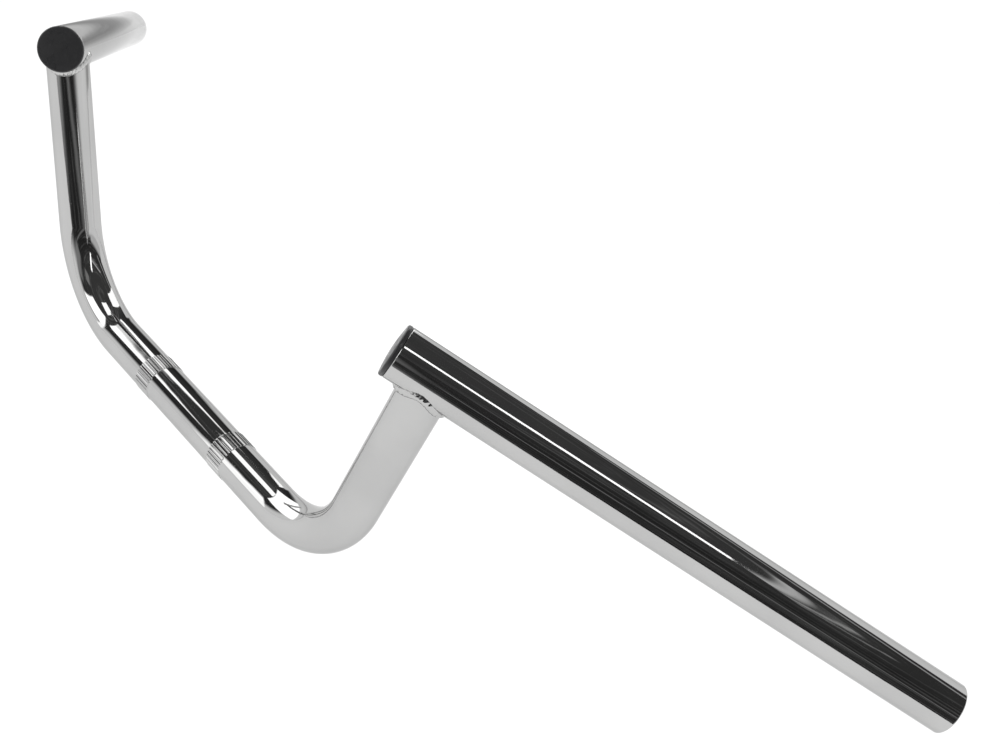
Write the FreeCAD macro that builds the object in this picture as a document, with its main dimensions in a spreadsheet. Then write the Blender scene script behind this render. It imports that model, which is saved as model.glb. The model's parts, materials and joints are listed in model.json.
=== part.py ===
import FreeCAD, Part
import math
import os

import Sketcher

# A chrome-plated handlebar for a small motorcycle: a bent centre tube with two knurled clamp
# bands, two straight grip tubes welded across its ends, and a plastic plug in each inner tube end.
# Frame: +Z up, +Y forward (the way the motorcycle travels), +X to the rider's right.
# The origin is the middle of the clamp section, on the tube's axis. Lengths in mm, angles in degrees.

DIMENSIONS = {
    # the centre tube: a straight clamp section, a bend at each end of it, and two risers
    "centre_outer_radius": 10.5,
    "centre_inner_radius": 8.5,
    "bend_corner_x": 113.0,
    "bend_radius": 55.0,
    "bend_angle": 73.5,
    "riser_length": 131.0,
    # the two knurled bands, rolled with the teeth along the tube
    "knurl_start_x": 28.25,
    "knurl_length": 11.5,
    "knurl_crest_radius": 10.8,
    "knurl_root_radius": 10.55,
    "knurl_groove_width": 0.95,
    "knurl_teeth": 40,
    # the grip tubes: sweep is the angle back from the side, droop is the angle down
    "grip_outer_radius": 11.1,
    "grip_inner_radius": 9.1,
    "grip_sweep": 37.0,
    "grip_droop": 18.5,
    "grip_inboard": 16.0,
    "grip_outboard": 245.0,
    "grip_end_chamfer": 0.4,
    # the joints of the risers and the grip tubes
    "cope_radius": 11.15,
    "cope_length": 80.0,
    "bead_leg": 2.6,
    "bead_crown": 1.3,
    "bead_corner_fill": 1.0,
    "bead_fused_depth": 0.4,
    "bead_root_depth": 1.2,
    # the push-in plugs
    "plug_rim": 1.1,
    "plug_edge_round": 0.9,
    "plug_crown": 0.8,
    "plug_floor": 0.6,
    "plug_shank_radius": 8.4,
    "plug_rib_radius": 9.05,
    "plug_recess_radius": 6.9,
    "plug_first_rib": 2.0,
    "plug_rib_pitch": 3.6,
    "plug_rib_flat": 0.8,
    "plug_rib_slope": 0.6,
    "plug_lead_in": 1.5,
}

PLUG_RIBS = 3
BEAD_STATIONS = 24
RIGHT, LEFT = 1, -1


def vec(x, y, z):
    return FreeCAD.Vector(x, y, z)


def fill_sheet(doc):
    sheet = doc.addObject("Spreadsheet::Sheet", "Dims")
    for row, (alias, value) in enumerate(DIMENSIONS.items(), start=1):
        sheet.set(f"A{row}", alias)
        sheet.set(f"B{row}", str(value))
        sheet.setAlias(f"B{row}", alias)
    doc.recompute()
    return sheet


def size(sheet, alias):
    return float(sheet.get(alias))


def radians(sheet, alias):
    return math.radians(size(sheet, alias))


def bend_tangent(sheet):
    """The length of a bend's tangent: how far its ends lie from the corner of the two axes."""
    return size(sheet, "bend_radius") * math.tan(radians(sheet, "bend_angle") / 2)


TANGENT = "Dims.bend_radius * tan(Dims.bend_angle / 2 * 1 deg)"


# Where the grip tubes stand. A grip frame has its origin where the riser's axis meets the grip
# tube's axis, +Z outward along the grip tube, and the riser in its XZ plane, on the +X side.


def riser_direction(sheet, side):
    angle = radians(sheet, "bend_angle")
    return vec(side * math.cos(angle), 0, math.sin(angle))


def grip_direction(sheet, side):
    sweep = radians(sheet, "grip_sweep")
    droop = radians(sheet, "grip_droop")
    level = math.cos(droop)
    return vec(side * level * math.cos(sweep), -level * math.sin(sweep), -math.sin(droop))


def grip_frame(sheet, side):
    rise = riser_direction(sheet, side)
    along = grip_direction(sheet, side)
    joint = vec(side * size(sheet, "bend_corner_x"), 0, 0) + rise * size(sheet, "riser_length")
    across = along * along.dot(rise) - rise
    across.normalize()
    return FreeCAD.Placement(joint, FreeCAD.Rotation(across, along.cross(across), along))


def riser_slant(sheet):
    """The angle between a grip tube's outward direction and the way down its riser."""
    return math.acos(-grip_direction(sheet, RIGHT).dot(riser_direction(sheet, RIGHT)))


# Small helpers for bodies, sketches and features.


def new_body(doc, label):
    body = doc.addObject("PartDesign::Body", label)
    body.Label = label
    return body


def origin_item(body, role):
    return next(item for item in body.Origin.OriginFeatures if item.Role == role)


def new_sketch(body, name, plane, offset=None):
    sketch = body.newObject("Sketcher::SketchObject", name)
    sketch.AttachmentSupport = [(origin_item(body, plane), "")]
    sketch.MapMode = "FlatFace"
    if offset is not None:
        sketch.AttachmentOffset = offset
    return sketch


def add_circle(sketch, sheet, alias):
    index = sketch.addGeometry(Part.Circle(vec(0, 0, 0), vec(0, 0, 1), size(sheet, alias)), False)
    sketch.addConstraint(Sketcher.Constraint("Coincident", index, 3, -1, 1))
    row = sketch.addConstraint(Sketcher.Constraint("Radius", index, size(sheet, alias)))
    sketch.setExpression(f"Constraints[{row}]", f"Dims.{alias}")


def add_tube_section(sketch, sheet, outer, inner):
    add_circle(sketch, sheet, outer)
    add_circle(sketch, sheet, inner)


def add_pad(body, name, sketch, length, midplane=False):
    pad = body.newObject("PartDesign::Pad", name)
    pad.Profile = sketch
    pad.Midplane = midplane
    pad.setExpression("Length", length)
    return pad


def add_pocket(body, name, sketch, length):
    pocket = body.newObject("PartDesign::Pocket", name)
    pocket.Profile = sketch
    pocket.Midplane = True
    pocket.setExpression("Length", length)
    return pocket


def add_points(sketch, points):
    """Draw a closed outline through (x, y) points and pin each corner to its place."""
    first = len(sketch.Geometry)
    count = len(points)
    for index, (x, y) in enumerate(points):
        next_x, next_y = points[(index + 1) % count]
        sketch.addGeometry(Part.LineSegment(vec(x, y, 0), vec(next_x, next_y, 0)), False)
    for index in range(count):
        after = first + (index + 1) % count
        sketch.addConstraint(Sketcher.Constraint("Coincident", first + index, 2, after, 1))
    return first


# The centre tube: one tube with two bends, two knurled bands and two coped ends.


def build_centre_tube(doc, sheet):
    body = new_body(doc, "centre_tube")
    tangent = bend_tangent(sheet)
    bend_start = size(sheet, "bend_corner_x") - tangent

    section = new_sketch(body, "clamp_section", "YZ_Plane")
    add_tube_section(section, sheet, "centre_outer_radius", "centre_inner_radius")
    add_pad(body, "clamp_straight", section, f"2 * (Dims.bend_corner_x - {TANGENT})", midplane=True)

    at_band = FreeCAD.Placement(vec(0, 0, size(sheet, "knurl_start_x")), FreeCAD.Rotation())
    ring = new_sketch(body, "knurl_ring", "YZ_Plane", at_band)
    ring.setExpression("AttachmentOffset.Base.z", "Dims.knurl_start_x")
    add_tube_section(ring, sheet, "knurl_crest_radius", "centre_inner_radius")
    band = add_pad(body, "knurl_band", ring, "Dims.knurl_length")

    at_bend = FreeCAD.Placement(vec(0, 0, bend_start), FreeCAD.Rotation())
    bend_sketch = new_sketch(body, "bend_section", "YZ_Plane", at_bend)
    bend_sketch.setExpression("AttachmentOffset.Base.z", f"Dims.bend_corner_x - {TANGENT}")
    add_tube_section(bend_sketch, sheet, "centre_outer_radius", "centre_inner_radius")
    radius = size(sheet, "bend_radius")
    axis = bend_sketch.addGeometry(Part.LineSegment(vec(-5, radius, 0), vec(5, radius, 0)), True)
    bend_sketch.addConstraint(Sketcher.Constraint("Horizontal", axis))
    row = bend_sketch.addConstraint(Sketcher.Constraint("DistanceY", -1, 1, axis, 1, radius))
    bend_sketch.setExpression(f"Constraints[{row}]", "Dims.bend_radius")
    bend = body.newObject("PartDesign::Revolution", "bend")
    bend.Profile = bend_sketch
    bend.ReferenceAxis = (bend_sketch, ["Axis0"])
    bend.Reversed = True
    bend.setExpression("Angle", "Dims.bend_angle")

    # in the YZ plane's own coordinates: Y across, Z up, X along the normal
    rise = riser_direction(sheet, RIGHT)
    bend_end = vec(0, tangent * rise.z, size(sheet, "bend_corner_x") + tangent * rise.x)
    tilt = FreeCAD.Rotation(vec(1, 0, 0), -size(sheet, "bend_angle"))
    riser_sketch = new_sketch(
        body, "riser_section", "YZ_Plane", FreeCAD.Placement(bend_end, tilt)
    )
    add_tube_section(riser_sketch, sheet, "centre_outer_radius", "centre_inner_radius")
    riser = add_pad(body, "riser", riser_sketch, f"Dims.riser_length - {TANGENT}")
    doc.recompute()

    cope_sketch = new_sketch(body, "cope_circle", "XY_Plane", grip_frame(sheet, RIGHT))
    add_circle(cope_sketch, sheet, "cope_radius")
    cope = add_pocket(body, "cope", cope_sketch, "Dims.cope_length")

    mirrored = body.newObject("PartDesign::Mirrored", "left_half")
    mirrored.Originals = [band, bend, riser, cope]
    mirrored.MirrorPlane = (origin_item(body, "YZ_Plane"), [""])
    body.Tip = mirrored
    doc.recompute()

    groove_sketch = new_sketch(body, "knurl_groove", "YZ_Plane")
    half = size(sheet, "knurl_groove_width") / 2
    crest = size(sheet, "knurl_crest_radius")
    root = size(sheet, "knurl_root_radius")
    over = crest + (crest - root)
    add_points(groove_sketch, [(0, root), (2 * half, over), (-2 * half, over)])
    groove = add_pocket(
        body, "knurl_groove_cut", groove_sketch, "2 * (Dims.knurl_start_x + Dims.knurl_length + 1)"
    )
    knurl = body.newObject("PartDesign::PolarPattern", "knurl")
    knurl.Originals = [groove]
    knurl.Axis = (origin_item(body, "X_Axis"), [""])
    knurl.Angle = 360
    knurl.setExpression("Occurrences", "Dims.knurl_teeth")
    body.Tip = knurl
    return body


# A grip tube: a straight tube with its ends lightly chamfered, open at the outer end.


def end_edges(shape, heights, radius):
    names = []
    for number, edge in enumerate(shape.Edges, start=1):
        curve = edge.Curve
        if curve.TypeId != "Part::GeomCircle" or abs(curve.Radius - radius) > 1e-6:
            continue
        if any(abs(curve.Center.z - height) < 1e-6 for height in heights):
            names.append(f"Edge{number}")
    return names


def build_grip_tube(doc, sheet, label, side):
    body = new_body(doc, label)
    at_inner_end = FreeCAD.Placement(vec(0, 0, -size(sheet, "grip_inboard")), FreeCAD.Rotation())
    section = new_sketch(body, f"{label}_section", "XY_Plane", at_inner_end)
    section.setExpression("AttachmentOffset.Base.z", "-Dims.grip_inboard")
    add_tube_section(section, sheet, "grip_outer_radius", "grip_inner_radius")
    tube = add_pad(body, f"{label}_tube", section, "Dims.grip_inboard + Dims.grip_outboard")
    doc.recompute()

    ends = (-size(sheet, "grip_inboard"), size(sheet, "grip_outboard"))
    chamfer = body.newObject("PartDesign::Chamfer", f"{label}_ends")
    chamfer.Base = (tube, end_edges(tube.Shape, ends, size(sheet, "grip_outer_radius")))
    chamfer.setExpression("Size", "Dims.grip_end_chamfer")
    body.Placement = grip_frame(sheet, side)
    return body


# A push-in plug: a crowned cap that covers the tube's end, and a hollow shank with three ribs.


def plug_outline(sheet):
    """The plug's half section as (radius, height) points, from the crown round to the recess."""
    rim_radius = size(sheet, "grip_outer_radius")
    rim = size(sheet, "plug_rim")
    edge = size(sheet, "plug_edge_round")
    shank = size(sheet, "plug_shank_radius")
    rib = size(sheet, "plug_rib_radius")
    slope = size(sheet, "plug_rib_slope")
    points = [(rim_radius, -rim), (rim_radius, 0), (shank, 0)]
    height = size(sheet, "plug_first_rib")
    for _ in range(PLUG_RIBS):
        flat_end = height + slope + size(sheet, "plug_rib_flat")
        points += [(shank, height), (rib, height + slope), (rib, flat_end), (shank, flat_end + slope)]
        height += size(sheet, "plug_rib_pitch")
    tip = height + size(sheet, "plug_lead_in")
    recess = size(sheet, "plug_recess_radius")
    floor = size(sheet, "plug_floor")
    points += [(shank, height), (shank - edge, tip), (recess, tip), (recess, floor), (0, floor)]
    return points, edge, rim_radius, rim


def build_plug(doc, sheet, label, side):
    body = new_body(doc, label)
    sketch = new_sketch(body, f"{label}_outline", "XZ_Plane")
    points, edge, rim_radius, rim = plug_outline(sheet)
    crown_edge = -(rim + edge)
    crown_top = crown_edge - size(sheet, "plug_crown")
    crown_radius = rim_radius - edge
    middle = math.sqrt(0.5)
    corner = Part.Arc(
        vec(crown_radius, crown_edge, 0),
        vec(crown_radius + edge * middle, -rim - edge * middle, 0),
        vec(rim_radius, -rim, 0),
    )
    rise = crown_edge - crown_top
    ball = (crown_radius**2 + rise**2) / (2 * rise)
    half_way = crown_radius / 2
    crown_half = crown_top + ball - math.sqrt(ball**2 - half_way**2)
    crown = Part.Arc(
        vec(0, crown_top, 0), vec(half_way, crown_half, 0), vec(crown_radius, crown_edge, 0)
    )
    sketch.addGeometry(crown, False)
    sketch.addGeometry(corner, False)
    for (x, y), (next_x, next_y) in zip(points, points[1:] + [(0, crown_top)]):
        sketch.addGeometry(Part.LineSegment(vec(x, y, 0), vec(next_x, next_y, 0)), False)
    turned = body.newObject("PartDesign::Revolution", f"{label}_moulding")
    turned.Profile = sketch
    turned.ReferenceAxis = (sketch, ["V_Axis"])
    turned.Angle = 360
    frame = grip_frame(sheet, side)
    inner_end = FreeCAD.Placement(vec(0, 0, -size(sheet, "grip_inboard")), FreeCAD.Rotation())
    body.Placement = frame.multiply(inner_end)
    return body


# A weld bead: it follows the saddle-shaped seam and is fused a little way into both tubes.


def bead_section(sheet, turn):
    """The bead's cross section at an angle round the riser, as a closed wire in the grip frame."""
    slant = riser_slant(sheet)
    down = vec(math.sin(slant), 0, math.cos(slant))
    outboard = vec(-math.cos(slant), 0, math.sin(slant))
    grip_radius = size(sheet, "grip_outer_radius")
    leg = size(sheet, "bead_leg")
    fused = size(sheet, "bead_fused_depth")
    riser_normal = outboard * math.cos(turn) + vec(0, 1, 0) * math.sin(turn)
    offset = riser_normal * size(sheet, "centre_outer_radius")
    reach = math.sqrt(grip_radius**2 - offset.y**2)
    seam = offset + down * ((reach - offset.x) / down.x)
    grip_normal = vec(seam.x, seam.y, 0)
    grip_normal.normalize()
    outward = riser_normal + grip_normal
    outward.normalize()
    squareness = 1 - riser_normal.dot(grip_normal)

    riser_toe = seam + down * leg - riser_normal * fused
    toe_angle = math.atan2(seam.y, seam.x) + leg / grip_radius * math.sin(turn)
    toe_radius = grip_radius - fused
    grip_toe = vec(
        toe_radius * math.cos(toe_angle),
        toe_radius * math.sin(toe_angle),
        seam.z + leg * math.cos(turn),
    )
    crown = size(sheet, "bead_crown") + size(sheet, "bead_corner_fill") * squareness
    face = Part.Arc(riser_toe, seam + outward * crown, grip_toe).toShape()
    root = seam - outward * size(sheet, "bead_root_depth")
    return Part.Wire([face, Part.makeLine(grip_toe, root), Part.makeLine(root, riser_toe)])


def build_weld_bead(doc, sheet, label, side):
    turns = [2 * math.pi * station / BEAD_STATIONS for station in range(BEAD_STATIONS)]
    sections = [bead_section(sheet, turn) for turn in turns]
    item = doc.addObject("Part::Feature", label)
    item.Label = label
    item.Shape = Part.makeLoft(sections, True, False, True)
    item.Placement = grip_frame(sheet, side)
    return item


def check_and_export(items):
    os.makedirs("parts", exist_ok=True)
    for item in items:
        for problem in ("Invalid", "Error"):
            if problem in item.State:
                raise RuntimeError(f"{item.Label} is marked {problem}")
        if item.Shape.isNull() or not item.Shape.isValid():
            raise RuntimeError(f"{item.Label} has no valid shape")
    for item in items:
        item.Shape.exportStep(os.path.join("parts", f"{item.Label}.step"))


def main():
    doc = FreeCAD.newDocument("Handlebar")
    sheet = fill_sheet(doc)
    items = [build_centre_tube(doc, sheet)]
    for word, side in (("left", LEFT), ("right", RIGHT)):
        items.append(build_grip_tube(doc, sheet, f"{word}_grip_tube", side))
        items.append(build_weld_bead(doc, sheet, f"{word}_weld_bead", side))
        items.append(build_plug(doc, sheet, f"{word}_end_plug", side))
    doc.recompute()
    for item in items:
        shape = item.Shape
        solids = len(shape.Solids)
        print(item.Label, "solids", solids, "volume", round(shape.Volume, 2), shape.BoundBox)
    check_and_export(items)


main()
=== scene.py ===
# %% [markdown]
# # A chrome-plated handlebar
#
# The handlebar is a weldment of steel tube: one bent centre tube, a straight grip tube welded
# across each of its ends, and a plastic plug in each inner tube end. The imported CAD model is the
# frame: it fixes every place and size, and this lesson dresses it with finer meshes, chrome and
# studio light. Lengths are in metres, +Z is up, +Y is forward and +X is to the rider's right.

# %% Load the frame
import json
import math

import bpy
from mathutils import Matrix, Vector


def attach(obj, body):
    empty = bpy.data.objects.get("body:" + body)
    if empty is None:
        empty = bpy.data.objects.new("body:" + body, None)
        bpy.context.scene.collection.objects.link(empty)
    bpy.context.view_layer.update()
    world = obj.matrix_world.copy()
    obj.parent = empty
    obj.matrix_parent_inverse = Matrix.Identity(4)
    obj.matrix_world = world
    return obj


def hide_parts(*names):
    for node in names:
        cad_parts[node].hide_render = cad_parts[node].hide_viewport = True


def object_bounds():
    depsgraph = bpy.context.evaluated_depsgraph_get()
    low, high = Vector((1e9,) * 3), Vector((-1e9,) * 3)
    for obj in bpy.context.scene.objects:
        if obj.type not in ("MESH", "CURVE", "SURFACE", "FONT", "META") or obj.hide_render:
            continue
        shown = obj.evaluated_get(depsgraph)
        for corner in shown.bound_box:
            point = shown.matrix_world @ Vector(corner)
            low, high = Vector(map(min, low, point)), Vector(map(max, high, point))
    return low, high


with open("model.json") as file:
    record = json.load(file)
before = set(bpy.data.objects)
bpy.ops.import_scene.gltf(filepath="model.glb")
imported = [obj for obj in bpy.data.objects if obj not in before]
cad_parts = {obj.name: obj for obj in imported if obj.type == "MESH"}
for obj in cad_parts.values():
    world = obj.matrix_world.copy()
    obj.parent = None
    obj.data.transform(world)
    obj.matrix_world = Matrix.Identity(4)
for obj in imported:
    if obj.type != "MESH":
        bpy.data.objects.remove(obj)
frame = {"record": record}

cad_box = [list(corner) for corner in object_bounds()]
print("CAD box:", [[round(value, 4) for value in corner] for corner in cad_box])

# %% [markdown]
# ## Where the tubes run
#
# A bent tube is drawn as a bender would read it: a straight, a bend of one radius and one angle,
# and another straight. The numbers below are the same ones that the CAD's sheet holds. The grip
# tubes' directions are read from the record's grip seats, so they can't drift from the frame.

# %% The line of the centre tube and the grip tubes
MM = 0.001
CENTRE_RADIUS = 10.5 * MM
BEND_CORNER = 113.0 * MM
BEND_RADIUS = 55.0 * MM
BEND_ANGLE = math.radians(73.5)
RISER_LENGTH = 131.0 * MM
GRIP_RADIUS = 11.1 * MM
GRIP_BORE = 9.1 * MM
GRIP_INBOARD = 16.0 * MM
GRIP_OUTBOARD = 245.0 * MM

mounts = {mount["name"]: mount for mount in frame["record"]["mounts"]}
SIDES = {"left": -1, "right": 1}
UP, FORWARD = Vector((0, 0, 1)), Vector((0, 1, 0))

bend_tangent = BEND_RADIUS * math.tan(BEND_ANGLE / 2)
clamp_half = BEND_CORNER - bend_tangent


def riser_way(side):
    """The direction up a riser."""
    return Vector((side * math.cos(BEND_ANGLE), 0, math.sin(BEND_ANGLE)))


def joint_place(side):
    """Where a riser's axis meets its grip tube's axis."""
    return Vector((side * BEND_CORNER, 0, 0)) + riser_way(side) * RISER_LENGTH


grip_way = {}
for word, side in SIDES.items():
    grip_way[side] = Vector(mounts[f"{word}_grip_seat"]["axis"]).normalized()
    outer_end = joint_place(side) + grip_way[side] * GRIP_OUTBOARD
    stated = Vector(mounts[f"{word}_grip_seat"]["pos_m"])
    print(word, "grip tube ends", round((outer_end - stated).length / MM, 4), "mm from its mount")

# %% [markdown]
# ## One helper for every round piece
#
# Tubes, plugs and weld beads are all rows of closed rings joined by quads, so one small function
# builds them all. Blender's own cylinder would do for a plain tube, but not for a coped end or a
# knurled band, where each ring has its own shape. The helper also lays out a UV map in metres,
# along and around the piece, so that a finish can have streaks that follow the metal.

# %% Build a mesh from rings


def ring_mesh(name, rings, along, joined=False, capped=()):
    """Join rings of equal count with quads. joined closes the last ring to the first."""
    count = len(rings[0])
    points = [tuple(point) for ring in rings for point in ring]
    faces, corners_uv = [], []
    pairs = [(row, row + 1) for row in range(len(rings) - 1)]
    if joined:
        pairs.append((len(rings) - 1, 0))
    step = 1.0 / count
    for low, high in pairs:
        for spot in range(count):
            after = (spot + 1) % count
            start, end = low * count, high * count
            faces.append((start + spot, start + after, end + after, end + spot))
            near, far = along[low], along[high]
            left, right = spot * step, (spot + 1) * step
            corners_uv.append(((near, left), (near, right), (far, right), (far, left)))
    for row, tip, flip in capped:
        points.append(tuple(tip))
        for spot in range(count):
            edge = (row * count + spot, row * count + (spot + 1) % count)
            edge = edge if flip else edge[::-1]
            faces.append((edge[0], edge[1], len(points) - 1))
            corners_uv.append(((along[row], 0), (along[row], step), (along[row], step / 2)))
    mesh = bpy.data.meshes.new(name)
    mesh.from_pydata(points, [], faces)
    layer = mesh.uv_layers.new(name="metal")
    flat = [value for face in corners_uv for corner in face for value in corner]
    layer.data.foreach_set("uv", flat)
    mesh.polygons.foreach_set("use_smooth", [True] * len(faces))
    mesh.validate()
    mesh.update()
    piece = bpy.data.objects.new(name, mesh)
    bpy.context.scene.collection.objects.link(piece)
    return piece


def crisp(piece, degrees):
    """Keep edges sharper than an angle crisp, so a bevel catches its own line of light."""
    piece.data.set_sharp_from_angle(angle=math.radians(degrees))


def faces_out(piece):
    """Turn the faces outward if the ring order made them face inward."""
    mesh = piece.data
    volume = 0.0
    for face in mesh.polygons:
        corners = [mesh.vertices[index].co for index in face.vertices]
        for one, two in zip(corners[1:-1], corners[2:]):
            volume += corners[0].dot(one.cross(two)) / 6
    if volume < 0:
        mesh.flip_normals()
    print(f"{piece.name}: {len(mesh.polygons)} faces, {abs(volume) / MM**3:.0f} cubic mm")


def seat(piece, body, slot, *nodes):
    """Put a piece on the body it rides on and hide the CAD nodes it stands for. slot is not used."""
    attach(piece, body)
    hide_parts(*nodes)


# %% [markdown]
# ## The centre tube
#
# The tube is swept along its bent line as a row of rings. At each end a ring is cut to the saddle
# shape a tube notcher leaves: every line of the tube runs up until it meets the grip tube, a
# little way into its wall, so the joint can't show a gap. A Boolean would cut the same saddle,
# but it leaves long thin faces that spoil a mirror finish. Working out each line's end doesn't.

# %% Rings along the bent line
TEETH = 40
TOOTH_HEIGHTS = [0.0, 0.35, 0.97, 1.0, 1.0, 0.97, 0.35, 0.0]
BAND_START, BAND_LENGTH, BAND_HEIGHT = 28.25 * MM, 11.5 * MM, 0.29 * MM
BAND_RUN_OUT, BAND_GUARD = 0.3 * MM, 0.12 * MM
BEND_ROWS = 64
COPE_DEPTH, CAP_DROP = 0.8 * MM, 25.0 * MM
TUBE_CREASE = 34

ring_count = TEETH * len(TOOTH_HEIGHTS)
around_angles = [2 * math.pi * spot / ring_count for spot in range(ring_count)]
tooth_heights = TOOTH_HEIGHTS * TEETH
print(ring_count, "points round the tube,", len(TOOTH_HEIGHTS), "to a tooth")


def tube_ring(centre, way, rise=0.0):
    """A ring across the tube. rise lifts it to the knurl's teeth, from 0 for plain to 1."""
    inside = Vector((-way.z, 0, way.x))
    ring = []
    for angle, height in zip(around_angles, tooth_heights):
        radius = CENTRE_RADIUS + rise * BAND_HEIGHT * height
        ring.append(centre + (inside * math.cos(angle) + FORWARD * math.sin(angle)) * radius)
    return ring


def line_end(point, way, side):
    """Where a line up the riser meets the grip tube, just under its skin: a quadratic's near root."""
    axis = grip_way[side]
    gap = point - joint_place(side)
    gap -= axis * gap.dot(axis)
    climb = way - axis * way.dot(axis)
    a, b = climb.length_squared, gap.dot(climb)
    c = gap.length_squared - (GRIP_RADIUS - COPE_DEPTH) ** 2
    return point + way * ((-b - math.sqrt(max(b * b - a * c, 0))) / a)


def band_rows(side):
    """Rings over one knurled band. Close pairs of rings keep the shading of each face to itself."""
    rows = []
    ends = (
        (-BAND_GUARD, 0.0), (0.0, 0.0), (BAND_RUN_OUT, 1.0), (BAND_RUN_OUT + BAND_GUARD, 1.0),
        (BAND_LENGTH - BAND_RUN_OUT - BAND_GUARD, 1.0), (BAND_LENGTH - BAND_RUN_OUT, 1.0),
        (BAND_LENGTH, 0.0), (BAND_LENGTH + BAND_GUARD, 0.0),
    )
    for reach, rise in ends:
        rows.append((Vector((side * (BAND_START + reach), 0, 0)), Vector((1, 0, 0)), rise))
    return rows


def centre_tube_rows():
    """(centre, direction, rise) for every ring, from the left bend's end to the right bend's end."""
    halves = []
    for side in (-1, 1):
        half = [(Vector((0, 0, 0)), Vector((1, 0, 0)), 0.0)] + band_rows(side)
        for row in range(BEND_ROWS + 1):
            turn = BEND_ANGLE * row / BEND_ROWS
            x = side * (clamp_half + BEND_RADIUS * math.sin(turn))
            z = BEND_RADIUS * (1 - math.cos(turn))
            way = Vector((math.cos(turn), 0, side * math.sin(turn)))
            half.append((Vector((x, 0, z)), way, 0.0))
        halves.append(half)
    left, right = halves
    return left[:0:-1] + right


def build_centre_tube():
    """The whole skin: rings along the line, a coped ring at each end and a hidden cap below it."""
    rows = centre_tube_rows()
    rings = [tube_ring(*row) for row in rows]
    ends = {}
    for side, last in ((-1, rings[0]), (1, rings[-1])):
        way = riser_way(side)
        ends[side] = [line_end(point, way, side) for point in last]
    rings = [ends[-1]] + rings + [ends[1]]
    along, total = [0.0], 0.0
    for one, two in zip(rings, rings[1:]):
        total += (two[0] - one[0]).length
        along.append(total)
    tips = [joint_place(side) - riser_way(side) * CAP_DROP for side in (-1, 1)]
    capped = ((0, tips[0], False), (len(rings) - 1, tips[1], True))
    tube = ring_mesh("centre_tube_skin", rings, along, capped=capped)
    faces_out(tube)
    crisp(tube, TUBE_CREASE)
    return tube


centre_tube = build_centre_tube()
seat(centre_tube, "handlebar", "chrome_plate", "centre_tube")

# %% [markdown]
# ## The grip tubes
#
# A grip tube is a plain straight tube, open at its outer end, so its wall and bore are modelled.
# Its section is drawn once as a closed outline and turned about the tube's axis. The cut ends are
# deburred on the real part: each edge gets a small rounded bevel, because a perfectly sharp edge
# never catches light and makes metal look like paper.

# %% Turn an outline about a grip tube's axis
GRIP_SEGMENTS = 192
EDGE_ROUND = 0.68 * MM
EDGE_STEPS = 5


def grip_axes(side):
    """The grip tube's own axes: across towards the riser, the other way across, and outward."""
    out = grip_way[side]
    across = -(riser_way(side) - out * riser_way(side).dot(out))
    across.normalize()
    return across, out.cross(across), out


def turned_rings(side, outline, segments, base):
    """Rings for (distance along, radius) pairs measured from base along the grip tube's axis."""
    across, other, out = grip_axes(side)
    rings = []
    for reach, radius in outline:
        ring = []
        for spot in range(segments):
            angle = 2 * math.pi * spot / segments
            spoke = across * math.cos(angle) + other * math.sin(angle)
            ring.append(base + out * reach + spoke * radius)
        rings.append(ring)
    return rings


def rounded_corner(reach, radius, quarter):
    """A quarter turn of small steps, clockwise, about a centre in the outline's own plane."""
    points = []
    for step in range(EDGE_STEPS + 1):
        angle = math.pi / 2 * (quarter - step / EDGE_STEPS)
        over, up = EDGE_ROUND * math.cos(angle), EDGE_ROUND * math.sin(angle)
        points.append((reach + over, radius + up))
    return points


def grip_outline():
    """Out along the outer wall, over the open end, back along the bore and round the inner end."""
    low, high = EDGE_ROUND - GRIP_INBOARD, GRIP_OUTBOARD - EDGE_ROUND
    outer, inner = GRIP_RADIUS - EDGE_ROUND, GRIP_BORE + EDGE_ROUND
    outline = rounded_corner(low, outer, 2) + rounded_corner(high, outer, 1)
    return outline + rounded_corner(high, inner, 0) + rounded_corner(low, inner, -1)


def build_grip_tube(word, side):
    outline = grip_outline()
    rings = turned_rings(side, outline, GRIP_SEGMENTS, joint_place(side))
    tube = ring_mesh(f"{word}_grip_skin", rings, [reach for reach, _ in outline], joined=True)
    faces_out(tube)
    return tube


grip_tubes = {}
for word, side in SIDES.items():
    grip_tubes[side] = build_grip_tube(word, side)
    seat(grip_tubes[side], "handlebar", "chrome_plate", f"{word}_grip_tube")

# %% [markdown]
# ## The weld beads
#
# A welder lays a bead round the saddle seam in small overlapping puddles, which chrome then
# covers. A texture could fake the ripples, but chrome shows every change of slope in its
# reflections, so the ripples are in the mesh: each puddle is a shallow scallop, bowed in the
# direction of travel, and its height and width drift a little, as a hand's do.

# %% Lay a bead along the seam
BEAD_ROWS = 320
BEAD_FACE_POINTS = 15
BEAD_LEG, BEAD_CROWN, BEAD_FILL = 2.6 * MM, 1.3 * MM, 1.0 * MM
BEAD_FUSED, BEAD_ROOT = 0.4 * MM, 1.2 * MM
ROOT_SHARES = (0.33, 0.66)
PUDDLES, RIPPLE = 34, 0.26 * MM
PUDDLE_BOW, PUDDLE_DRIFT, PUDDLE_LEVEL = 2.4, 0.8, 0.7
LEG_DRIFT, CROWN_DRIFT = 0.07, 0.08
LEG_LAG, PUDDLE_LAG = 2, 5
DRIFT_WAVES = ((0.5, 3, 1.0), (0.3, 7, 2.1), (0.2, 11, 0.7))  # size, waves round the seam, lag
BEAD_PHASES = {-1: 4.1, 1: 1.3}


def drift(turn, phase):
    """A slow, repeatable wander between about -1 and 1, as a hand makes."""
    return sum(size * math.sin(waves * turn + lag * phase) for size, waves, lag in DRIFT_WAVES)


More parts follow.
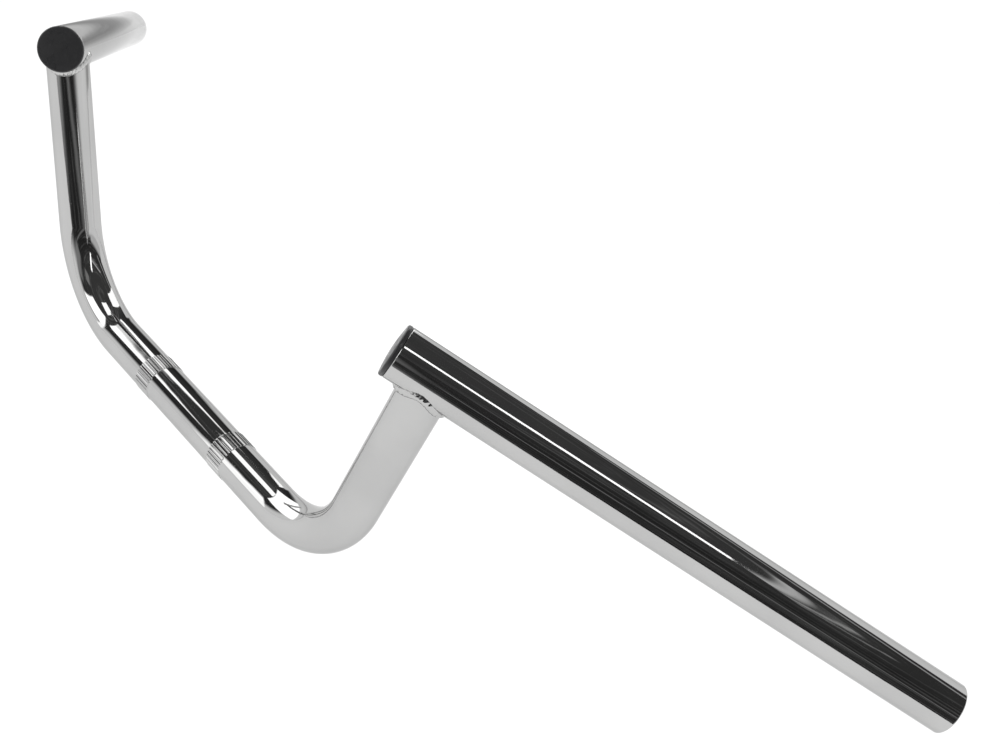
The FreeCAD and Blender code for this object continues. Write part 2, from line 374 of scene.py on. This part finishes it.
def seam_spot(side, turn):
    """A point of the saddle seam, with both tubes' normals there and the way round the riser."""
    out, down = grip_way[side], -riser_way(side)
    outboard = (out - down * out.dot(down)).normalized()
    round_way = down.cross(outboard)
    normal = outboard * math.cos(turn) + round_way * math.sin(turn)
    offset = normal * CENTRE_RADIUS
    level = offset - out * offset.dot(out)
    fall = down - out * down.dot(out)
    a, b = fall.length_squared, level.dot(fall)
    c = level.length_squared - GRIP_RADIUS**2
    seam = offset + down * ((-b + math.sqrt(b * b - a * c)) / a)
    grip_normal = (seam - out * seam.dot(out)).normalized()
    return seam, normal, grip_normal, round_way


def grip_toe_place(side, turn, leg, seam, round_way):
    """Where the bead runs out on the grip tube: one leg away, measured along its round wall."""
    across, other, out = grip_axes(side)
    angle = math.atan2(seam.dot(other) / GRIP_RADIUS, seam.dot(across) / GRIP_RADIUS)
    angle += leg / GRIP_RADIUS * math.sin(turn) * round_way.dot(other)
    toe = (across * math.cos(angle) + other * math.sin(angle)) * (GRIP_RADIUS - BEAD_FUSED)
    return toe + out * (seam.dot(out) + leg * math.cos(turn))


def bead_ring(side, turn, phase):
    """One closed section: the rippled face from the riser to the grip tube, then the root."""
    seam, normal, grip_normal, round_way = seam_spot(side, turn)
    outward = (normal + grip_normal).normalized()
    leg = BEAD_LEG * (1 + LEG_DRIFT * drift(turn, phase + LEG_LAG))
    riser_toe = seam - riser_way(side) * leg - normal * BEAD_FUSED
    grip_toe = grip_toe_place(side, turn, leg, seam, round_way)
    swell = BEAD_CROWN + BEAD_FILL * (1 - normal.dot(grip_normal))
    crown = seam + outward * swell * (1 + CROWN_DRIFT * drift(turn, phase))
    bow = crown * 2 - (riser_toe + grip_toe) / 2
    ring = []
    for spot in range(BEAD_FACE_POINTS):
        share = spot / (BEAD_FACE_POINTS - 1)
        swing = 2 * share - 1
        arc = riser_toe * (1 - share) ** 2 + bow * 2 * share * (1 - share) + grip_toe * share**2
        wander = PUDDLE_DRIFT * drift(turn, phase + PUDDLE_LAG)
        beat = PUDDLES * turn + PUDDLE_BOW * swing**2 + wander
        puddle = abs(math.sin(beat / 2)) - PUDDLE_LEVEL
        ring.append(arc + outward * RIPPLE * puddle * (1 - swing**4))
    root = seam - outward * BEAD_ROOT
    ring += [grip_toe.lerp(root, share) for share in ROOT_SHARES]
    ring.append(root)
    ring += [root.lerp(riser_toe, share) for share in ROOT_SHARES]
    return [point + joint_place(side) for point in ring]


weld_beads = {}
for word, side in SIDES.items():
    turns = [2 * math.pi * row / BEAD_ROWS for row in range(BEAD_ROWS)]
    rings = [bead_ring(side, turn, BEAD_PHASES[side]) for turn in turns]
    along = [turn * CENTRE_RADIUS for turn in turns]
    bead = ring_mesh(f"{word}_weld_ripples", rings, along, joined=True)
    faces_out(bead)
    weld_beads[side] = bead
    seat(bead, "handlebar", "chrome_weld", f"{word}_weld_bead")

# %% [markdown]
# ## The push-in plugs
#
# Each plug is one black moulding: a crowned cap over the tube's end and a hollow ribbed shank in
# the bore. It is turned on a lathe of rings, like the tubes. The cap's edge has a proper round,
# which is what shows as a pale line when the plug is seen edge-on.

# %% Turn a plug
PLUG_SEGMENTS = 128
CAP_RIM, CAP_ROUND, CAP_CROWN = 1.1 * MM, 0.9 * MM, 0.8 * MM
SHANK, RIB, RECESS = 8.4 * MM, 9.05 * MM, 6.9 * MM
FIRST_RIB, RIB_PITCH, RIB_SLOPE, RIB_FLAT = 2.0 * MM, 3.6 * MM, 0.6 * MM, 0.8 * MM
LEAD_IN, FLOOR, CAP_LIP = 1.5 * MM, 0.6 * MM, 0.15 * MM
PLUG_CREASE = 38
RIBS, CROWN_STEPS, ROUND_STEPS = 3, 14, 8


def plug_outline():
    """(distance from the tube's end, radius) pairs, from the crown to the recess floor."""
    flat_radius = GRIP_RADIUS - CAP_ROUND
    top = -(CAP_RIM + CAP_ROUND + CAP_CROWN)
    ball = (flat_radius**2 + CAP_CROWN**2) / (2 * CAP_CROWN)
    outline = []
    for step in range(1, CROWN_STEPS):
        radius = flat_radius * step / CROWN_STEPS
        outline.append((top + ball - math.sqrt(ball**2 - radius**2), radius))
    for step in range(ROUND_STEPS + 1):
        angle = math.pi / 2 * step / ROUND_STEPS
        reach = -CAP_RIM - CAP_ROUND * math.cos(angle)
        outline.append((reach, flat_radius + CAP_ROUND * math.sin(angle)))
    outline += [(-CAP_LIP, GRIP_RADIUS), (0.0, GRIP_RADIUS - CAP_LIP), (0.0, SHANK)]
    reach = FIRST_RIB
    for _ in range(RIBS):
        flat_end = reach + RIB_SLOPE + RIB_FLAT
        outline += [(reach, SHANK), (reach + RIB_SLOPE, RIB)]
        outline += [(flat_end, RIB), (flat_end + RIB_SLOPE, SHANK)]
        reach += RIB_PITCH
    tip = reach + LEAD_IN
    outline += [(reach, SHANK), (tip, SHANK - CAP_ROUND), (tip, RECESS), (FLOOR, RECESS)]
    return outline, top


def build_plug(word, side):
    outline, top = plug_outline()
    base = joint_place(side) - grip_way[side] * GRIP_INBOARD
    rings = turned_rings(side, outline, PLUG_SEGMENTS, base)
    tips = (base + grip_way[side] * top, base + grip_way[side] * FLOOR)
    capped = ((0, tips[0], False), (len(rings) - 1, tips[1], True))
    along = [reach for reach, _ in outline]
    plug = ring_mesh(f"{word}_plug_moulding", rings, along, capped=capped)
    faces_out(plug)
    crisp(plug, PLUG_CREASE)
    return plug


plugs = {}
for word, side in SIDES.items():
    plugs[side] = build_plug(word, side)
    seat(plugs[side], f"{word}_plug", "plug_plastic", f"{word}_end_plug")


# %% [markdown]
# ## Chrome
#
# Chrome plate is a very thin, hard mirror. It isn't a white mirror: chromium sends back only a
# little over half of the light, so a white room looks light grey in it and turns white only at
# the tube's edges. A metal shader with chromium's own grey gives both. What makes it look real
# is what polishing leaves behind: faint streaks along the tube where the belt ran, a slight haze
# that comes and goes, and long soft waves in the steel under the plate.

# %% Helpers for node materials


def new_material(name):
    """A new node material, with its tree and its shader."""
    material = bpy.data.materials.new(name)
    material.use_nodes = True
    tree = material.node_tree
    shader = tree.nodes["Principled BSDF"]
    return material, tree, shader


def add_node(tree, kind, **settings):
    """A node whose settings go to the socket of that name, or else to the property."""
    node = tree.nodes.new(kind)
    for key, value in settings.items():
        if key in node.inputs:
            node.inputs[key].default_value = value
        else:
            setattr(node, key, value)
    return node


def noise(tree, vector, scale, detail=4.0, roughness=0.5):
    node = add_node(tree, "ShaderNodeTexNoise", Scale=scale, Detail=detail, Roughness=roughness)
    tree.links.new(vector, node.inputs["Vector"])
    return node.outputs["Fac"]


def remap(tree, value, low, high, to_low, to_high, smooth=False):
    """Turn the range low to high into the range to_low to to_high, and hold it there outside."""
    node = add_node(tree, "ShaderNodeMapRange")
    node.interpolation_type = "SMOOTHSTEP" if smooth else "LINEAR"
    for key, number in (("From Min", low), ("From Max", high), ("To Min", to_low), ("To Max", to_high)):
        node.inputs[key].default_value = number
    tree.links.new(value, node.inputs["Value"])
    return node.outputs["Result"]


def combine(tree, operation, one, two):
    """One sum of two values, each a number or a socket."""
    node = add_node(tree, "ShaderNodeMath", operation=operation)
    for socket, value in zip(node.inputs, (one, two)):
        if isinstance(value, (int, float)):
            socket.default_value = value
        else:
            tree.links.new(value, socket)
    return node.outputs["Value"]


def stretched(tree, vector, scale):
    node = add_node(tree, "ShaderNodeMapping")
    node.inputs["Scale"].default_value = scale
    tree.links.new(vector, node.inputs["Vector"])
    return node.outputs["Vector"]


def mix_colours(tree, share, one, two):
    node = add_node(tree, "ShaderNodeMix", data_type="RGBA")
    tree.links.new(share, node.inputs["Factor"])
    colours = [socket for socket in node.inputs if socket.type == "RGBA"]
    for socket, value in zip(colours, (one, two)):
        socket.default_value = value
    return [socket for socket in node.outputs if socket.type == "RGBA"][0]


# %% The chrome of the tubes
CHROMIUM = (0.525, 0.525, 0.522, 1)
CHROMIUM_DEEP = (0.492, 0.492, 0.490, 1)
EDGE_TINT = (0.70, 0.70, 0.70, 1)
STREAK_STRETCH, WAVE_STRETCH = (9, 150, 1), (60, 60, 60)
CLOUD_SCALE, SPECK_SCALE = 26.0, 1900.0
STREAK_SHARE, CLOUD_SHARE, SPECK_HAZE = 0.6, 0.4, 0.12
WEAR_RANGE, SPECK_RANGE, TINT_RANGE = (0.38, 0.66), (0.71, 0.78), (0.35, 0.65)


def chrome_material(name, mirror, haze, streak_height, wave_height):
    """mirror and haze are the roughness where the plate is clearest and where it is duller."""
    material, tree, shader = new_material(name)
    place = add_node(tree, "ShaderNodeTexCoord")
    uv, here = place.outputs["UV"], place.outputs["Object"]
    streaks = noise(tree, stretched(tree, uv, STREAK_STRETCH), 1.0, 3.0)
    clouds = noise(tree, here, CLOUD_SCALE, 3.0)
    specks = remap(tree, noise(tree, here, SPECK_SCALE, 1.0), *SPECK_RANGE, 0.0, 1.0)
    streak_part = combine(tree, "MULTIPLY", streaks, STREAK_SHARE)
    cloud_part = combine(tree, "MULTIPLY", clouds, CLOUD_SHARE)
    wear = combine(tree, "ADD", streak_part, cloud_part)
    rough = remap(tree, wear, *WEAR_RANGE, mirror, haze, smooth=True)
    rough = combine(tree, "ADD", rough, combine(tree, "MULTIPLY", specks, SPECK_HAZE))
    tree.links.new(rough, shader.inputs["Roughness"])
    tint = remap(tree, clouds, *TINT_RANGE, 0.0, 1.0)
    tree.links.new(mix_colours(tree, tint, CHROMIUM_DEEP, CHROMIUM), shader.inputs["Base Color"])
    shader.inputs["Metallic"].default_value = 1.0
    shader.inputs["Specular Tint"].default_value = EDGE_TINT
    waves = noise(tree, stretched(tree, here, WAVE_STRETCH), 1.0, 1.0)
    wave_part = combine(tree, "MULTIPLY", waves, wave_height)
    height = combine(tree, "ADD", wave_part, combine(tree, "MULTIPLY", streaks, streak_height))
    bump = add_node(tree, "ShaderNodeBump", Strength=1.0, Distance=1.0)
    tree.links.new(height, bump.inputs["Height"])
    tree.links.new(bump.outputs["Normal"], shader.inputs["Normal"])
    return material


plate_chrome = chrome_material(
    "chrome_plate", mirror=0.025, haze=0.07, streak_height=0.0035 * MM, wave_height=0.05 * MM
)
weld_chrome = chrome_material(
    "chrome_over_weld", mirror=0.06, haze=0.14, streak_height=0.0, wave_height=0.06 * MM
)
for piece in (centre_tube, *grip_tubes.values()):
    piece.data.materials.append(plate_chrome)
for piece in weld_beads.values():
    piece.data.materials.append(weld_chrome)
print("chromium reflects", CHROMIUM[1], "of the light that meets it square on")

# %% [markdown]
# ## Bare steel in the bore
#
# Plating hardly reaches inside a tube, so the bore is plain drawn steel: darker and duller, with
# a drawn grain along it. It is a second material on the same mesh, chosen by how far each face
# lies from the tube's axis.

# %% The bore
DRAWN_STEEL, RUST_BLOOM = (0.16, 0.155, 0.15, 1), (0.09, 0.07, 0.055, 1)
GRAIN_STRETCH, RUST_SCALE = (30, 900, 1), 140.0
bore_steel, tree, shader = new_material("bare_steel_bore")
place = add_node(tree, "ShaderNodeTexCoord")
grain = noise(tree, stretched(tree, place.outputs["UV"], GRAIN_STRETCH), 1.0, 3.0)
rust = noise(tree, place.outputs["Object"], RUST_SCALE, 5.0)
tone = remap(tree, rust, 0.45, 0.7, 0.0, 1.0, smooth=True)
tree.links.new(mix_colours(tree, tone, DRAWN_STEEL, RUST_BLOOM), shader.inputs["Base Color"])
tree.links.new(remap(tree, grain, 0.3, 0.7, 0.38, 0.62), shader.inputs["Roughness"])
shader.inputs["Metallic"].default_value = 0.85

for side, tube in grip_tubes.items():
    tube.data.materials.append(bore_steel)
    _, _, out = grip_axes(side)
    for face in tube.data.polygons:
        gap = face.center - joint_place(side)
        gap -= out * gap.dot(out)
        if gap.length < GRIP_BORE + EDGE_ROUND / 2:
            face.material_index = 1
print("bore faces are bare steel")

# %% [markdown]
# ## Black plastic for the plugs
#
# The plugs are moulded in black polyethylene: a satin skin with a very fine spark-eroded grain,
# a little dust in it, and edges rubbed slightly smoother. A noise for the grain drives a bump,
# and a broader one varies the roughness.

# %% The plug's plastic
BLACK, DUSTY = (0.019, 0.019, 0.020, 1), (0.028, 0.028, 0.029, 1)
SPARK_SCALE, SMEAR_SCALE, DUST_SCALE, SPARK_DEPTH = 5200.0, 210.0, 900.0, 0.04 * MM
plug_black, tree, shader = new_material("plug_plastic")
place = add_node(tree, "ShaderNodeTexCoord")
here = place.outputs["Object"]
grain = noise(tree, here, SPARK_SCALE, 2.0)
smears = noise(tree, here, SMEAR_SCALE, 4.0)
dust = remap(tree, noise(tree, here, DUST_SCALE, 3.0), 0.6, 0.75, 0.0, 1.0, smooth=True)
tree.links.new(mix_colours(tree, dust, BLACK, DUSTY), shader.inputs["Base Color"])
tree.links.new(remap(tree, smears, 0.35, 0.65, 0.24, 0.38), shader.inputs["Roughness"])
bump = add_node(tree, "ShaderNodeBump", Strength=0.5, Distance=SPARK_DEPTH)
tree.links.new(grain, bump.inputs["Height"])
tree.links.new(bump.outputs["Normal"], shader.inputs["Normal"])
for plug in plugs.values():
    plug.data.materials.append(plug_black)

# %% [markdown]
# ## The studio
#
# Chrome has no colour of its own: what it shows is the room. This room is dark, with the bar over
# white paper and a few lamps behind white cloth. The paper gives the light grey
# lower side, the dark room the black middle, and the lamps the white lines and patches. The paper
# floor is a real sheet. It ends a little way behind the bar, where a real sheet curves up.

# %% The paper floor
FLOOR_DROP = 90 * MM
FLOOR_BACK, FLOOR_FRONT, FLOOR_HALF = 0.8, 0.56, 1.6
PAPER_SHADE, PAPER_LIGHT = (0.94, 0.94, 0.94, 1), (0.96, 0.96, 0.96, 1)
camera_side = Vector((-0.82, 0.57, 0)).normalized()  # the level way from the bar to the camera's side
sideways = UP.cross(camera_side)
floor_z = cad_box[0][2] - FLOOR_DROP

corners = []
for reach, half in ((FLOOR_FRONT, -1), (FLOOR_FRONT, 1), (-FLOOR_BACK, 1), (-FLOOR_BACK, -1)):
    point = camera_side * reach + sideways * half * FLOOR_HALF
    corners.append((point.x, point.y, floor_z))
floor_mesh = bpy.data.meshes.new("paper_floor")
floor_mesh.from_pydata(corners, [], [(0, 1, 2, 3)])
if floor_mesh.polygons[0].normal.z < 0:
    floor_mesh.flip_normals()
paper_floor = bpy.data.objects.new("paper_floor", floor_mesh)
bpy.context.scene.collection.objects.link(paper_floor)

paper, tree, shader = new_material("white_paper")
place = add_node(tree, "ShaderNodeTexCoord")
fibre = noise(tree, place.outputs["Object"], 3.0, 3.0)
tree.links.new(mix_colours(tree, fibre, PAPER_SHADE, PAPER_LIGHT), shader.inputs["Base Color"])
shader.inputs["Roughness"].default_value = 0.9
shader.inputs["Specular IOR Level"].default_value = 0.0
floor_mesh.materials.append(paper)
print("paper floor at z =", round(floor_z, 4))

# %% [markdown]
# ## The room around the bar
#
# The rest of the room is drawn in the world, where it costs no render time and has no noise. Only
# mirror-like rays see it. All other rays meet an even pale light, as from a very large soft box,
# so the background stays plain. A lamp in the world is a lit rectangle in a direction:
# a ray is projected on a plane that faces that direction, and lies in the lamp if both of its
# coordinates are small enough.

# %% A lit panel in the world
LEAST_DEPTH = 0.02  # keeps the projection finite for rays that point away from the panel


def heading(turn, height):
    """A direction in degrees: its turn, clockwise from forward seen from above, and its height."""
    turn, height = math.radians(turn), math.radians(height)
    level = math.cos(height)
    return Vector((math.sin(turn) * level, math.cos(turn) * level, math.sin(height)))


def dot_with(tree, way, fixed):
    node = add_node(tree, "ShaderNodeVectorMath", operation="DOT_PRODUCT")
    tree.links.new(way, node.inputs[0])
    node.inputs[1].default_value = fixed
    return node.outputs["Value"]


def panel(tree, way, turn, height, wide, tall, lean=0.0, soft=0.05):
    """1 inside a panel of that width and height in degrees, 0 outside, with a soft edge."""
    middle = heading(turn, height)
    flat = UP.cross(middle).normalized()
    steep = middle.cross(flat)
    cosine, sine = math.cos(math.radians(lean)), math.sin(math.radians(lean))
    flat, steep = flat * cosine + steep * sine, steep * cosine - flat * sine
    depth = combine(tree, "MAXIMUM", dot_with(tree, way, middle), LEAST_DEPTH)
    share = None
    for axis, size in ((flat, wide), (steep, tall)):
        across = combine(tree, "DIVIDE", dot_with(tree, way, axis), depth)
        across = combine(tree, "ABSOLUTE", across, 0.0)
        half = math.tan(math.radians(size / 2))
        inside = remap(tree, across, half - soft, half + soft, 1.0, 0.0, smooth=True)
        share = inside if share is None else combine(tree, "MULTIPLY", share, inside)
    return share


# %% The room, as the chrome sees it
EVEN_LIGHT = 1.09
ROOM_DARK, CEILING, CREASE, PAPER = 0.025, 0.06, 0.45, 0.95
SHELF_STRETCH, SHELF_RANGE, SHELF_LIGHT = (1.2, 1.2, 22), (0.52, 0.72), 0.16
# Bands of height, as the sine of the angle above the horizon.
CEILING_BAND, NEAR_PAPER, FAR_PAPER, CURVE_TOP = (0.3, 0.85), (-0.31, -0.17), (-0.14, -0.05), (0.08, 0.27)
OPEN_SIDE = (0.55, 0.9)
PANELS = (
    # turn, height, wide, tall, lean, soft edge, brightness
    (26, 28, 27, 32, -6, 0.03, 2.4),
    (86, 23.5, 54, 42, -13, 0.02, 2.2),
    (38.5, 10, 5, 22, 0, 0.02, 1.9),
    (168, 14, 60, 24, 0, 0.03, 1.0),
    (-164, 33, 46, 3, 8, 0.02, 0.5),
    (-146, 9, 66, 22, 0, 0.08, 0.7),
    (-17, 13, 34, 20, 0, 0.10, 0.30),
    (-24, 41, 17, 13, 0, 0.05, 0.28),
    (-117, 46.5, 38, 2.6, 9, 0.02, 0.7),
    (-110, 42, 30, 1.2, 9, 0.01, 0.45),
    (-106, 39, 24, 0.8, 6, 0.01, 0.35),
    (-66, 4, 60, 3, -4, 0.03, 0.22),
)
world = bpy.data.worlds.new("studio_room")
bpy.context.scene.world = world
world.use_nodes = True
tree = world.node_tree
background = tree.nodes["Background"]
rays = add_node(tree, "ShaderNodeLightPath")
way = add_node(tree, "ShaderNodeTexCoord").outputs["Generated"]
height = dot_with(tree, way, UP)

shelf_noise = noise(tree, stretched(tree, way, SHELF_STRETCH), 1.0, 4.0, 0.65)
shelves = remap(tree, shelf_noise, *SHELF_RANGE, 0.0, SHELF_LIGHT)
dark = combine(tree, "ADD", remap(tree, height, *CEILING_BAND, ROOM_DARK, CEILING), shelves)
below = remap(tree, height, *NEAR_PAPER, 1.0, 0.0, smooth=True)
above = remap(tree, height, *FAR_PAPER, 0.0, 1.0, smooth=True)
paper_tone = remap(tree, combine(tree, "MAXIMUM", below, above), 0.0, 1.0, CREASE, PAPER)
curve_up = remap(tree, height, *CURVE_TOP, 1.0, 0.0, smooth=True)
open_side = remap(tree, dot_with(tree, way, camera_side), *OPEN_SIDE, 1.0, 0.0, smooth=True)
paper_share = combine(tree, "MULTIPLY", curve_up, open_side)
room = combine(tree, "ADD", combine(tree, "MULTIPLY", paper_tone, paper_share), dark)
for *place_and_size, brightness in PANELS:
    lit = combine(tree, "MULTIPLY", panel(tree, way, *place_and_size), brightness)
    room = combine(tree, "MAXIMUM", room, lit)
glossy = rays.outputs["Is Glossy Ray"]
other = combine(tree, "MULTIPLY", combine(tree, "SUBTRACT", 1.0, glossy), EVEN_LIGHT)
light = combine(tree, "ADD", combine(tree, "MULTIPLY", room, glossy), other)
tree.links.new(light, background.inputs["Strength"])
background.inputs["Color"].default_value = (1, 1, 1, 1)
print(len(PANELS), "panels in the room,", len(tree.nodes), "nodes")

# %% [markdown]
# ## Lamps close to the bar
#
# A far lamp makes a line of even place and width along a straight tube. The lines that start,
# stop or swell come from lamps close by, so these are real area lamps. They are hidden from the
# camera, but not from the chrome.

# %% Close lamps


def close_lamp(name, centre, faces, along, size, brightness):
    """A flat lamp that faces a point, with its long side in the direction along."""
    light = bpy.data.lights.new(name, "AREA")
    light.shape = "RECTANGLE"
    light.size, light.size_y = size
    light.energy = brightness * size[0] * size[1] * math.pi
    lamp = bpy.data.objects.new(name, light)
    bpy.context.scene.collection.objects.link(lamp)
    back = (Vector(centre) - Vector(faces)).normalized()
    x_axis = (Vector(along) - back * Vector(along).dot(back)).normalized()
    turn = lamp.matrix_world.to_3x3()
    turn.col[0], turn.col[1], turn.col[2] = x_axis, back.cross(x_axis), back
    lamp.matrix_world = turn.to_4x4()
    lamp.location = centre
    lamp.visible_camera = False
    print(name, "at", [round(value, 2) for value in centre], "brightness", brightness)
    return lamp


left_seat = joint_place(-1) + grip_way[-1] * 60 * MM
right_bend = Vector((clamp_half + BEND_RADIUS * 0.7, 0, BEND_RADIUS * 0.3))
close_lamp("line_lamp", (-0.600, 0.040, 0.686), left_seat, grip_way[-1], (0.48, 0.085), 2.4)
close_lamp("back_lamp", (0.21, -0.34, 0.37), right_bend, UP, (0.34, 0.16), 1.9)
close_lamp("top_lamp", (0.20, 0.07, 0.36), right_bend, FORWARD, (0.13, 0.12), 1.9)

# %% [markdown]
# ## The camera
#
# The camera stands ahead of the bar and above its left end, and looks back and down over it. It
# is leaned a little to one side, so the bar crosses the view from corner to corner. It is
# described by what it looks at, from which side, how high, how far, and how much it leans.

# %% Place the camera
LOOK_AT = Vector((-0.0798, -0.1183, 0.0460))
CAMERA_TURN, CAMERA_HEIGHT = math.radians(-139.05), math.radians(32.80)
CAMERA_LEAN = math.radians(15.38)
CAMERA_DISTANCE, CAMERA_LENS, SENSOR_WIDTH = 0.6758, 49.5, 36.0

back = Vector((
    math.sin(CAMERA_TURN) * math.cos(CAMERA_HEIGHT),
    -math.cos(CAMERA_TURN) * math.cos(CAMERA_HEIGHT),
    math.sin(CAMERA_HEIGHT),
))
level_right = UP.cross(back).normalized()
level_up = back.cross(level_right)
lean_up = level_up * math.cos(CAMERA_LEAN) - level_right * math.sin(CAMERA_LEAN)
lean_right = lean_up.cross(back)
camera_data = bpy.data.cameras.new("camera")
camera_data.lens, camera_data.sensor_width = CAMERA_LENS, SENSOR_WIDTH
camera_data.clip_start = 0.01
camera = bpy.data.objects.new("camera", camera_data)
bpy.context.scene.collection.objects.link(camera)
turn = camera.matrix_world.to_3x3()
turn.col[0], turn.col[1], turn.col[2] = lean_right, lean_up, back
camera.matrix_world = turn.to_4x4()
camera.location = LOOK_AT + back * CAMERA_DISTANCE
bpy.context.scene.camera = camera
bpy.context.scene.view_settings.view_transform = "Standard"
print("camera at", [round(value, 4) for value in camera.location])
